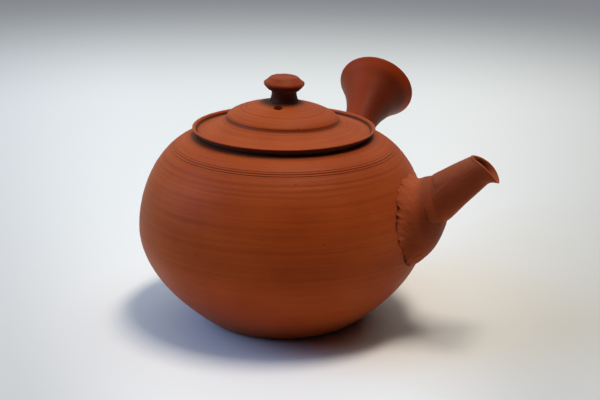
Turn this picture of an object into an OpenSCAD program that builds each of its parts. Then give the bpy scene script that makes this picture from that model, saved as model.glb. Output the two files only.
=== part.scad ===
// Side-handled teapot of unglazed red clay: a thrown body with a luted spout, handle and inner strainer,
// and a loose lid with a turned knob.
// The origin is the centre of the foot's underside. +X runs along the spout, +Y along the handle, +Z is up.

/* [Body] */
// Largest radius of the belly
belly_r = 55; // [48:0.5:62]
// Height of the belly's widest line
belly_z = 36.6; // [32:0.2:41]
// Radius of the flat foot
foot_r = 28.5; // [24:0.5:33]
// How full the belly is between the foot and its widest line
belly_fullness = 1.95; // [1.6:0.05:2.4]
// How full the shoulder is between the belly's widest line and the rim, 2 being an ellipse
shoulder_fullness = 1.93; // [1.7:0.01:2.2]
// Height of the flat rim that carries the lid
rim_z = 72; // [66:0.5:80]
// Outer radius of the rim
rim_r = 31; // [30:0.2:34]
// Radius of the mouth
mouth_r = 28.4; // [25:0.2:28.8]
// Thickness of the rim
rim_t = 3.2; // [2.6:0.1:4.4]
// Thickness of the wall at the belly
wall = 3.5; // [2.6:0.1:4.4]
// Thickness of the floor
floor_t = 4.5; // [3.5:0.1:6]
// Radius of the floor inside
floor_r = 22; // [18:0.5:24]
// How far the foot's edge is turned in
foot_chamfer = 0.8; // [0.4:0.1:1.5]

/* [Engraved lines] */
// How far the middle engraved line lies below the rim
line_drop = 4.2; // [3:0.1:7]
// Height between neighbouring lines
line_pitch = 0.6; // [0.4:0.05:1]
// Radius of the tool that cut them
line_tool_r = 0.22; // [0.1:0.02:0.3]

/* [Spout] */
// Height of the centre of the spout's root
spout_z = 44; // [40:0.5:47]
// Radius of the root on the body
spout_root_r = 15.2; // [14.4:0.2:16.6]
// Radius of the waist where the bell ends and the tube begins
spout_waist_r = 8.4; // [7.5:0.1:9.5]
// Step from the bell out to the tube at the waist
spout_step = 0.5; // [0.2:0.05:0.8]
// Radius of the tube just inside the mouth
spout_mouth_r = 6; // [5.2:0.1:7]
// How far the bell reaches out from the wall
bell_out = 7; // [5.5:0.25:9]
// How far the bell rises
bell_up = 10; // [8:0.25:12]
// How far the tube reaches out
tube_out = 14; // [10:0.5:20]
// How far the tube rises
tube_up = 11.7; // [8:0.5:16]
// How far the pouring lip reaches out past the tube
lip_out = 2.4; // [1.5:0.1:3.5]
// How far the middle of the lip's edge rises past the tube
lip_up = 0.6; // [0.2:0.1:1.2]
// Half height of the mouth's edge, with the turned-out lip
edge_high = 7.1; // [6.2:0.1:8]
// Half width of the mouth's edge
edge_wide = 6; // [5:0.1:6.8]
// Wall of the bell
bell_wall = 2.8; // [2.2:0.1:3.4]
// Wall of the tube
tube_wall = 2.2; // [1.6:0.1:2.6]
// Wall at the mouth's edge
edge_wall = 1.2; // [0.9:0.05:1.5]

/* [Strainer] */
// Radius of the opening in the body's wall behind the spout
opening_r = 12.4; // [11:0.2:12.6]
// Thickness of the strainer
strainer_t = 2.2; // [1.8:0.1:2.6]
// How far the strainer's dome bulges into the pot
strainer_bulge = 5; // [3.5:0.25:7]
// Length of the strainer's rim, which fills the opening
strainer_rim = 6.4; // [5:0.2:6.8]
// Diameter of a strainer hole
strainer_hole_d = 1.8; // [1.2:0.1:2]
// Distance between strainer holes
strainer_pitch = 2.9; // [2.6:0.05:2.95]
// Rings of holes round the middle one
strainer_rings = 3; // [2:1:3]

/* [Handle] */
// Height of the handle's axis at the wall
handle_z = 35; // [32:0.5:39]
// Upward slope of the handle in degrees
handle_slope = 26; // [18:1:34]
// Length of the handle from the wall
handle_l = 70; // [58:1:85]
// Radius of the handle at its root
handle_root_r = 9.2; // [8.2:0.1:11]
// Radius of the handle's waist
handle_waist_r = 6.4; // [5.8:0.1:7.6]
// Distance from the wall to the waist
handle_waist_l = 36; // [28:1:42]
// Radius of the flared end
handle_end_r = 16.7; // [13:0.1:19]
// Roundness of the flare
handle_flare = 2.2; // [1.8:0.1:2.8]
// Wall of the handle
handle_wall = 2.4; // [2:0.1:3]

/* [Joining clay] */
// Thickness of the wet clay between two luted faces
lute_gap = 0.1; // [0.05:0.01:0.2]
// How far the spout's collar spreads on the body
spout_collar = 2.5; // [1.6:0.1:3]
// How far the handle's collar spreads on the body
handle_collar = 2.4; // [1.6:0.1:3.4]
// How far the handle's collar climbs along it
handle_collar_l = 5; // [3:0.25:8]

/* [Lid] */
// How far the lid's lip reaches past the rim
lid_overhang = 3.5; // [2.5:0.1:5]
// Height of the lip's edge above the rim
lip_h = 3.1; // [2.6:0.1:4]
// Thickness of the lip
lip_t = 1.3; // [1:0.1:1.6]
// Thickness of the lid over the rim
plate_t = 1.5; // [1.3:0.1:1.8]
// Thickness of the lid's dome
lid_t = 3; // [2.2:0.1:3.4]
// Radius of the raised dome
dome_r = 20.9; // [18:0.1:22]
// Height of the dome's edge above the rim
dome_edge_h = 7.2; // [6.2:0.1:8]
// Height of the step round the dome
dome_step = 1.9; // [1:0.1:2.4]
// Height of the dome's tip, under the knob, above the rim
crown_h = 14.3; // [12.5:0.1:16]
// How deep the flange drops into the mouth
flange_depth = 6.5; // [4:0.25:9]
// Thickness of the flange
flange_t = 2.7; // [2:0.1:3.2]
// Radial clearance between the flange and the mouth
lid_clearance = 0.5; // [0.3:0.05:0.9]
// Diameter of the steam hole
steam_d = 3.5; // [2.5:0.1:4]
// Distance of the steam hole from the middle
steam_offset = 8.6; // [6.4:0.1:9]
// Turn of the steam hole round the lid's middle, from the side opposite the handle towards the spout
steam_turn = 9.8; // [-20:0.1:30]

/* [Knob] */
// Height of the knob above the crown
knob_h = 9.5; // [8.8:0.1:12]
// Largest radius of the knob
knob_r = 7.8; // [6.8:0.1:9.5]
// Height of the knob's widest line above the crown
knob_wide_h = 7.2; // [6.6:0.1:7.8]
// Radius of the knob's stem
stem_r = 4.7; // [4:0.1:5.2]
// Height of the stem's narrowest part
stem_h = 3.8; // [2.5:0.1:4]
// Radius of the knob's foot
knob_foot_r = 5.6; // [5.3:0.1:6.2]
// Radius of the raised disc on top
knob_top_r = 5; // [3.8:0.1:5.2]
// Height of the raised disc on top
knob_top_h = 0.5; // [0.3:0.05:0.8]

/* [Hidden] */
$fn = 96;
clay = "#a9502f";
inner_clay = "#97442a";
collar_clay = "#8f3f26";

// Steps along a turned curve, and sides of a swept ring
curve_steps = 12;
ring_sides = 36;
// How far a cutting solid runs past the face that it cuts
past = 1;
// How far the spout's root runs back behind the wall before it is cut to fit
root_back = 8;

// How far the root's middle sinks into the curved wall, so that its whole rim meets the body
root_sink = 2;

// Spout axis in the X-Z plane: root on the wall, waist, tube end and middle of the mouth's edge
spout_root = [body_r(spout_z) - root_sink, spout_z];
spout_waist = spout_root + [root_sink + bell_out, bell_up];
spout_end = spout_waist + [tube_out, tube_up];
spout_edge = spout_end + [lip_out, lip_up];
// Tilt of the rings at those four places, in degrees from upright
spout_tilts = [3.5, 22.5, 40, 49.5];
// The mouth's edge stands further out at its sides, and was cut a little askew, longer on the -Y side
edge_bow = 1.5;
edge_skew = 0.7;
// How late the bell rises on its way out to the waist
bell_bend = 1.7;

// Lid heights and radii that follow the rim
lip_r = rim_r + lid_overhang;
flange_r = mouth_r - lid_clearance;
groove_r = lip_r - 1.4*lip_t;
// Share of the dome's drop that is a plain cone, and how late the rest of it falls
dome_slope = 0.78;
dome_round = 7;
// Softness that the turning tool leaves on an edge
turned_edge = 0.5;
// Stage of the spout at which its collar has thinned to nothing
collar_end = 0.5;

function mix(a, b, t) = a + (b - a)*t;

// Points on a curve that leaves a towards b and arrives at c from b
function bend(a, b, c, n) = [for (i = [0:n]) mix(mix(a, b, i/n), mix(b, c, i/n), i/n)];

// Radius of the body's outside at a height: a full curve below the belly line, nearly an ellipse above it
function body_r(z) = z < belly_z
    ? belly_r - (belly_r - foot_r)*pow(1 - z/belly_z, belly_fullness)
    : rim_r + (belly_r - rim_r)
        *pow(max(0, 1 - pow((z - belly_z)/(rim_z - belly_z), shoulder_fullness)), 1/shoulder_fullness);

// Wall section from a floor to a top: floor radius and height, belly radius, top radius and height
function section(fr, fz, br, tr, tz) = concat(
    [for (i = [0:curve_steps]) let (u = 1 - i/curve_steps)
        [br - (br - fr)*pow(u, belly_fullness), mix(belly_z, fz, u)]],
    [for (i = [1:curve_steps]) let (a = 90*i/curve_steps, power = 2/shoulder_fullness)
        [tr + (br - tr)*pow(cos(a), power), belly_z + (tz - belly_z)*pow(sin(a), power)]]);

outer_section = section(foot_r, 0, belly_r, rim_r, rim_z);
inner_section = section(floor_r, floor_t, belly_r - wall, mouth_r, rim_z - rim_t);

// The body's outside as one filled solid, grown outwards by gap, for fitting pieces to it
module body_outside(gap) {
    rotate_extrude() polygon(concat([[0, 0]], [for (p = outer_section) p + [gap, 0]], [[0, rim_z]]));
}

// A solid turned about the X axis at the spout's height, from points [radius, distance from the pot's axis]
module turned_on_spout_line(outline) {
    translate([0, 0, spout_z]) rotate([0, 90, 0]) rotate_extrude() polygon(outline);
}

module body() {
    color(clay) difference() {
        rotate_extrude() polygon(concat(
            [[0, 0], [foot_r - foot_chamfer, 0]],
            [for (i = [1:len(outer_section) - 1]) outer_section[i]],
            [[mouth_r, rim_z]],
            [for (i = [len(inner_section) - 1:-1:0]) inner_section[i]],
            [[0, floor_t]]));
        // Opening behind the spout, which the strainer fills
        translate([belly_r/2, 0, spout_z]) rotate([0, 90, 0]) cylinder(r = opening_r, h = belly_r/2 + past);
        // Engraved lines round the shoulder
        for (i = [-1:1]) {
            line_z = rim_z - line_drop + i*line_pitch;
            rotate_extrude() translate([body_r(line_z), line_z]) circle(r = line_tool_r, $fn = 16);
        }
    }
}

module strainer() {
    outside_r = opening_r - lute_gap;
    inside_r = outside_r - strainer_t;
    rim_end = body_r(spout_z + opening_r) - lute_gap;
    rim_start = rim_end - strainer_rim;
    apex = rim_start - strainer_bulge;
    color(inner_clay) difference() {
        turned_on_spout_line(concat(
            [[outside_r, rim_end], [inside_r, rim_end]],
            bend([inside_r, rim_start + strainer_t/2], [inside_r/2, apex + strainer_t], [0, apex + strainer_t],
                curve_steps/2),
            bend([0, apex], [outside_r*0.6, apex], [outside_r, rim_start], curve_steps/2)));
        // Hexagonal field of drilled holes
        for (i = [-strainer_rings:strainer_rings], j = [-strainer_rings:strainer_rings])
            if (abs(i + j) <= strainer_rings)
                translate([apex - past, strainer_pitch*(i + j/2), spout_z + strainer_pitch*j*sin(60)])
                    rotate([0, 90, 0]) cylinder(d = strainer_hole_d, h = strainer_bulge + 2*strainer_t + past);
    }
}

// Value at stage s of the spout from four stops: 0 root, 1 waist, 2 tube end, 3 mouth's edge
function staged(stops, s) = let (k = max(0, min(2, floor(s)))) mix(stops[k], stops[k + 1], s - k);

// Half height of the spout at a stage: the bell closes in like a parabola, the tube tapers, the lip turns out
function spout_high(s) = s <= 0 ? spout_root_r
    : s <= 1 ? mix(spout_root_r, spout_waist_r, s*s)
    : s <= 2 ? mix(spout_waist_r + spout_step, spout_mouth_r, s - 1)
    : mix(spout_mouth_r, edge_high, pow(s - 2, 2));
function spout_wide(s) = s <= 2 ? spout_high(s) : mix(spout_mouth_r, edge_wide, s - 2);
function spout_wall(s) = staged([bell_wall, tube_wall, tube_wall, edge_wall], s);

// Middle of the spout at a stage. A stage below 0 runs straight back from the root, and the bell rises late
function spout_centre(s) = s < 0 ? spout_root + [root_back*s, 0]
    : s < 1 ? spout_root + [s*(spout_waist[0] - spout_root[0]), pow(s, bell_bend)*bell_up]
    : staged([spout_root, spout_waist, spout_end, spout_edge], s);

// One ring of the spout at a stage, grown outwards by grow
function spout_ring(s, grow) = let (
        c = spout_centre(s),
        tilt = staged(spout_tilts, max(0, s)),
        turn_out = max(0, s - 2))
    [for (i = [0:ring_sides - 1]) let (
            a = 360*i/ring_sides,
            up = (spout_high(s) + grow)*cos(a),
            side = (spout_wide(s) + grow)*sin(a),
            along = turn_out*(edge_bow*pow(sin(a), 2) - edge_skew*sin(a)))
        [c[0] - up*sin(tilt) + along*cos(tilt), side, c[1] + up*cos(tilt) + along*sin(tilt)]];

function middle(ring) = [for (k = [0:2]) let (v = [for (p = ring) p[k]]) v*[for (p = ring) 1/len(ring)]];

// A closed skin over a row of rings, with a fan of triangles over each end
module skin(rings) {
    n = len(rings[0]);
    last = (len(rings) - 1)*n;
    start_mid = len(rings)*n;
    end_mid = start_mid + 1;
    polyhedron(
        points = concat([for (r = rings) each r], [middle(rings[0]), middle(rings[len(rings) - 1])]),
        faces = concat(
            [for (i = [0:n - 1]) [(i + 1)%n, i, start_mid]],
            [for (i = [0:n - 1]) [last + i, last + (i + 1)%n, end_mid]],
            [for (j = [0:len(rings) - 2], i = [0:n - 1]) let (k = (i + 1)%n)
                each [[j*n + i, j*n + k, (j + 1)*n + k], [j*n + i, (j + 1)*n + k, (j + 1)*n + i]]]),
        convexity = 6);
}

// Stages at which the spout has rings
bell_stages = [-1, 0, 0.25, 0.5, 0.7, 0.85, 1];
tube_stages = [1.001, 1.33, 1.67, 2, 2.35, 2.7, 3];

module spout_outside(grow) {
    skin([for (s = concat(bell_stages, tube_stages)) spout_ring(s, grow)]);
}

module spout() {
    bore_stages = concat(bell_stages, [1.33, 1.67, 2, 2.35, 2.7, 3, 3.4]);
    color(clay) difference() {
        spout_outside(0);
        skin([for (s = bore_stages) spout_ring(s, -spout_wall(s))]);
        body_outside(lute_gap);
    }
}

// Share of the collar's spread at angle a from the top: thin above, widest at the sides, with a wandering edge
function collar_share(a) = 0.3 + pow(sin(a), 2) + 0.2*(1 - cos(a)) + 0.12*sin(5*a) + 0.1*sin(9*a + 40);

module spout_luting() {
    collar_stages = [-1, 0, 0.2, 0.4];
    color(collar_clay) difference() {
        skin([for (s = collar_stages)
            let (inner = spout_ring(s, 0),
                outer = spout_ring(s, 1),
                spread = spout_collar*(1 - max(0, s)/collar_end))
            [for (i = [0:ring_sides - 1]) mix(inner[i], outer[i], spread*collar_share(360*i/ring_sides))]]);
        spout_outside(lute_gap);
        body_outside(lute_gap);
    }
}

// Puts a solid turned about Z onto the handle's axis, with its origin where the axis meets the wall
module on_handle_axis() {
    translate([0, body_r(handle_z), handle_z]) rotate([handle_slope - 90, 0, 0]) children();
}

// Distance that the handle runs back behind the wall before it is cut to fit
handle_back = handle_root_r*0.9;

// Radius of the handle at a distance from the wall: a slow taper to the waist, then the flare
function handle_r(d) = d < handle_waist_l
    ? handle_waist_r + (handle_root_r - handle_waist_r)*pow(1 - max(0, d)/handle_waist_l, 2)
    : handle_waist_r + (handle_end_r - handle_waist_r)
        *pow((d - handle_waist_l)/(handle_l - handle_waist_l), handle_flare);

handle_stops = concat([-handle_back], [for (i = [0:2*curve_steps]) handle_l*i/(2*curve_steps)]);

module handle() {
    inside = [for (d = handle_stops) [handle_r(d) - handle_wall, d]];
    color(clay) difference() {
        on_handle_axis() rotate_extrude() polygon(concat(
            [for (d = handle_stops) [handle_r(d), d]],
            bend([handle_end_r, handle_l], [handle_end_r - handle_wall*0.4, handle_l + handle_wall*0.8],
                [handle_end_r - handle_wall, handle_l], 4),
            [for (i = [len(inside) - 2:-1:0]) inside[i]]));
        body_outside(lute_gap);
    }
}

module handle_luting() {
    inner_r = handle_root_r + lute_gap;
    color(collar_clay) difference() {
        on_handle_axis() rotate_extrude() polygon(concat(
            [[inner_r, -handle_back]],
            bend([inner_r + 2*handle_collar, -handle_back], [inner_r + handle_collar/2, 0],
                [handle_r(handle_collar_l) + 3*lute_gap, handle_collar_l], 6),
            [for (i = [4:-1:0]) let (d = handle_collar_l*i/4) [handle_r(d) + lute_gap, d]]));
        body_outside(lute_gap);
    }
}

// Height of the lid's dome at a radius
function dome_z(r) = rim_z + mix(crown_h, dome_edge_h,
    dome_slope*r/dome_r + (1 - dome_slope)*pow(r/dome_r, dome_round));

// Hole that lets steam out beside the knob's stem, below its head
module steam_hole() {
    translate([steam_offset*sin(steam_turn), -steam_offset*cos(steam_turn), rim_z])
        cylinder(d = steam_d, h = dome_z(knob_foot_r) + stem_h/2 - rim_z);
}

module lid() {
    groove_z = rim_z + plate_t;
    edge_z = dome_z(dome_r);
    flange_in = flange_r - flange_t;
    dome = [for (i = [0:curve_steps]) let (r = mix(dome_r, knob_foot_r, i/curve_steps)) [r, dome_z(r)]];
    under_r = min(dome_r - lid_t/2, flange_in - lid_t/2);
    color(clay) difference() {
        rotate_extrude() polygon(concat(
            // Flange, seat on the rim and the flared lip
            [[flange_in, rim_z - flange_depth], [flange_r - turned_edge, rim_z - flange_depth],
                [flange_r, rim_z - 2*turned_edge], [flange_r, rim_z]],
            bend([rim_r, rim_z], [rim_r + lid_overhang*0.57, rim_z + turned_edge],
                [lip_r, rim_z + lip_h - lip_t/4], 5),
            bend([lip_r, rim_z + lip_h - lip_t/4], [lip_r - lip_t/2, rim_z + lip_h + lip_t/4],
                [lip_r - lip_t, rim_z + lip_h - lip_t/2], 4),
            // Groove inside the lip, rising ring and the stepped dome
            bend([groove_r + lip_t/4, groove_z + lip_t/4], [groove_r, groove_z],
                [groove_r - lip_t, groove_z + turned_edge/3], 3),
            bend([dome_r + 1.15*dome_step, edge_z - dome_step - 0.7*turned_edge],
                [dome_r + turned_edge, edge_z - dome_step], [dome_r + turned_edge/4, edge_z - turned_edge], 4),
            dome,
            [[0, dome_z(knob_foot_r)]],
            // Underside
            [for (i = [curve_steps/2:-1:0]) let (r = mix(under_r, 0, 2*i/curve_steps))
                [r, dome_z(max(r, knob_foot_r)) - lid_t]],
            [[flange_in, rim_z + plate_t]]));
        steam_hole();
    }
}

module lid_knob() {
    seat_z = dome_z(knob_foot_r);
    color(clay) difference() {
        translate([0, 0, seat_z]) rotate_extrude() polygon(concat(
            [[0, 0]],
            bend([knob_foot_r, 0], [stem_r, stem_h*0.3], [stem_r, stem_h], 5),
            bend([stem_r + turned_edge/4, stem_h + turned_edge/2],
                [mix(stem_r, knob_r, 0.6), mix(stem_h, knob_wide_h, 0.22)],
                [knob_r - turned_edge/2, knob_wide_h - turned_edge], 5),
            [[knob_r, knob_wide_h], [knob_r - turned_edge, knob_wide_h + turned_edge/2]],
            [[knob_top_r + turned_edge/2, knob_h - knob_top_h], [knob_top_r, knob_h - knob_top_h],
                [knob_top_r - turned_edge, knob_h], [0, knob_h]]));
        steam_hole();
    }
}

body();
strainer();
spout();
spout_luting();
handle();
handle_luting();
lid();
lid_knob();
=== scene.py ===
"""Looks of a side-handled teapot of unglazed red clay: a wheel-thrown body, lid, knob and handle, and a spout
pulled by hand, joined with wet clay. Sizes are in millimetres, in the part's own frame: the origin is the
middle of the foot, +X runs along the spout, +Y along the handle and +Z is up."""

import math

import bmesh
import bpy
from mathutils import Matrix, Vector, noise


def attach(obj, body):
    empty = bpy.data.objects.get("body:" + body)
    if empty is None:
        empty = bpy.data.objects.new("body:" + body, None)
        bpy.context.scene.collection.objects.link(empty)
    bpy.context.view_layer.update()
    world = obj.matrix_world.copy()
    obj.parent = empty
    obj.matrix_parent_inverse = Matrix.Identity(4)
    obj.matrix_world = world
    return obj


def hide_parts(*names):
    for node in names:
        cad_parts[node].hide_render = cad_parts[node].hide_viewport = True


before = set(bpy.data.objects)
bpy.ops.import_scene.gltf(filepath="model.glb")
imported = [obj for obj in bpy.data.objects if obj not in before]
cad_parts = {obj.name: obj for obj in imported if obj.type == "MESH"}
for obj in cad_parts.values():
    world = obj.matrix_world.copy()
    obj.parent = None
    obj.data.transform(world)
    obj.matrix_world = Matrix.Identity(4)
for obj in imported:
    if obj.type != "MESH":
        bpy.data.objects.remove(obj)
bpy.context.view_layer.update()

MM = 0.001
TURN = 2 * math.pi

# Body
BELLY_R = 55
BELLY_Z = 36.6
FOOT_R = 28.5
BELLY_FULLNESS = 1.95
SHOULDER_FULLNESS = 1.93
RIM_Z = 72
RIM_R = 31
MOUTH_R = 28.4
RIM_T = 3.2
WALL = 3.5
FLOOR_T = 4.5
FLOOR_R = 22
FOOT_CHAMFER = 0.8
# Softness that the turning tool leaves on an edge
TURNED_EDGE = 0.5

# Lines cut or left in the outside of the body: height, half width and depth
ENGRAVED_LINES = [(RIM_Z - 4.8, 0.1, 0.2), (RIM_Z - 4.2, 0.12, 0.24), (RIM_Z - 3.6, 0.08, 0.15)]
RIB_LINES = [(66.6, 0.3, 0.04), (64.4, 0.35, 0.1), (62.6, 0.3, 0.07), (62.0, 0.25, 0.05), (60.9, 0.4, 0.06),
             (57.5, 0.5, 0.05), (53.2, 0.4, 0.04), (50.1, 0.5, 0.04), (45.6, 0.4, 0.04), (42.4, 0.5, 0.05),
             (33.0, 0.5, 0.04), (24.5, 0.6, 0.04)]

# Spout
SPOUT_Z = 44
SPOUT_ROOT_R = 15.2
SPOUT_WAIST_R = 8.4
SPOUT_STEP = 0.5
SPOUT_MOUTH_R = 6
BELL_OUT = 7
BELL_UP = 10
TUBE_OUT = 14
TUBE_UP = 11.7
LIP_OUT = 2.4
LIP_UP = 0.6
EDGE_HIGH = 7.1
EDGE_WIDE = 6
BELL_WALL = 2.8
TUBE_WALL = 2.2
EDGE_WALL = 1.2
ROOT_BACK = 8
ROOT_SINK = 2
SPOUT_TILTS = (3.5, 22.5, 40, 49.5)
EDGE_BOW = 1.5
EDGE_SKEW = 0.7
# How far the lip's underside arches up before its tip droops
LIP_ARCH = 1.4
BELL_BEND = 1.7
OPENING_R = 12.4
# Where the tube's rolled end lies on the bell: degrees from the top and stage. On the near side it is a thumb
# of clay
SLEEVE_END = ((-180, 0.97), (-140, 0.91), (-100, 0.77), (-76, 0.76), (-58, 1.12), (-46, 1.08), (0, 1.0),
              (90, 0.95), (180, 0.97))

# Rows of points along the spout: up to which stage and how many. They are closest where the rolled end lies
SPOUT_ROWS = ((0.7, 20), (1.25, 60), (2, 20), (3, 26))

# Handle
HANDLE_Z = 35
HANDLE_SLOPE = math.radians(26)
HANDLE_L = 70
HANDLE_ROOT_R = 9.2
HANDLE_WAIST_R = 6.4
HANDLE_WAIST_L = 36
HANDLE_END_R = 16.7
HANDLE_FLARE = 2.2
HANDLE_WALL = 2.4

# Joining clay
LUTE_GAP = 0.1
SPOUT_COLLAR = 3.5
HANDLE_COLLAR = 2.4
HANDLE_COLLAR_L = 5

# Lid
LIP_R = RIM_R + 3.5
LIP_H = 3.1
LIP_T = 1.3
PLATE_T = 1.5
LID_T = 3
DOME_R = 20.9
DOME_EDGE_H = 7.2
DOME_STEP = 1.9
CROWN_H = 14.3
DOME_SLOPE = 0.78
DOME_ROUND = 7
FLANGE_R = MOUTH_R - 0.5
FLANGE_DEPTH = 6.5
FLANGE_T = 2.7
STEAM_D = 3.5
STEAM_OFFSET = 8.6
STEAM_TURN = math.radians(9.8)
# The lid's dome sits a little askew: it leans and is off centre, away from the spout in the photograph's view
DOME_LEAN = math.radians(1.3)
DOME_SHIFT = 0.5
# The lid stays level from LEVEL_R outwards and at its seat. It is fully askew LEVEL_W further in and LEVEL_H
# higher
LEVEL_R = DOME_R + 5
LEVEL_W = 4
LEVEL_H = 3
# Incised rings on the dome: radius, half width and depth
DOME_LINES = [(12, 0.15, 0.1), (16, 0.16, 0.13)]
# How far the painted shade round the knob's foot runs out over the dome
KNOB_SHADE_R = 10.5
# The shoulder under the lid's overhang gets painted shade too: where that begins, and how soon it is full
SHADE_R = 36.5
SHADE_W = 4.5

# Knob
KNOB_H = 9.5
KNOB_R = 7.8
KNOB_WIDE_H = 7.2
STEM_R = 4.7
STEM_H = 3.8
KNOB_FOOT_R = 5.6
KNOB_TOP_R = 5
KNOB_TOP_H = 0.5

# Camera, fitted to the photograph: place round the pot, and how it is turned
VIEW_AZIMUTH = math.radians(20.5)
VIEW_DISTANCE = 548.9
VIEW_HEIGHT = 213
VIEW_PITCH = math.radians(16.93)
VIEW_YAW = math.radians(0.67)
VIEW_ROLL = math.radians(0.69)
VIEW_LENS = 90


def mix(a, b, t):
    return a + (b - a) * t


def clamp(t):
    return max(0.0, min(1.0, t))


def ease(t):
    """Goes from 0 to 1 with a soft start and end."""
    t = clamp(t)
    return t * t * (3 - 2 * t)


def bend(a, b, c, steps):
    """Points on a curve that leaves a towards b and arrives at c from b."""
    start, pull, end = Vector(a), Vector(b), Vector(c)
    return [start.lerp(pull, i / steps).lerp(pull.lerp(end, i / steps), i / steps) for i in range(steps + 1)]


def seen_from_camera(right, away, up):
    """A place or direction given as right, away and up from the middle of the foot, in metres."""
    return Matrix.Rotation(VIEW_AZIMUTH, 3, "Z") @ Vector((right, away, up))


def add_node(tree, kind, inputs=None, **settings):
    """Adds a node with its settings; an input given as another node's output is linked, any other is set."""
    node = tree.nodes.new(kind)
    for name, value in settings.items():
        setattr(node, name, value)
    for socket, value in (inputs or {}).items():
        if isinstance(value, bpy.types.NodeSocket):
            tree.links.new(value, node.inputs[socket])
        else:
            node.inputs[socket].default_value = value
    return node


def linear(hex_colour):
    """An sRGB hex colour as linear RGBA."""
    parts = [int(hex_colour[i:i + 2], 16) / 255 for i in (1, 3, 5)]
    return [c / 12.92 if c <= 0.04045 else ((c + 0.055) / 1.055) ** 2.4 for c in parts] + [1]


def show(name, mesh):
    piece = bpy.data.objects.new(name, mesh)
    bpy.context.scene.collection.objects.link(piece)
    return piece


def as_mesh(carrier):
    """The object's mesh with its modifiers worked in."""
    graph = bpy.context.evaluated_depsgraph_get()
    return bpy.data.meshes.new_from_object(carrier.evaluated_get(graph), depsgraph=graph)


# Materials

# Colour that the painted shade darkens the clay towards
PAINTED_SHADE_COLOUR = "#3a0f06"
IRON_SPECK = "#3d160c"
SHEEN_TINT = "#ffdcbc"

# Sizes of the patterns in the clay: the gap between the tool's streaks and bands and their length, the width
# of clouds and grain, the cells in which specks lie with the share that has one, and the relief's height
STREAK_GAP = 0.7
STREAK_L = 40
BAND_GAP = 5
BAND_L = 83.3
CLOUD_W = 25
GRAIN_W = 0.4
SPECK_CELL = 4
SPECK_SHARE = 0.18
RELIEF_H = 0.06


def per_metre(size):
    """How many of a pattern's steps of that size in mm go into a metre."""
    return 1 / (size * MM)


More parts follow.
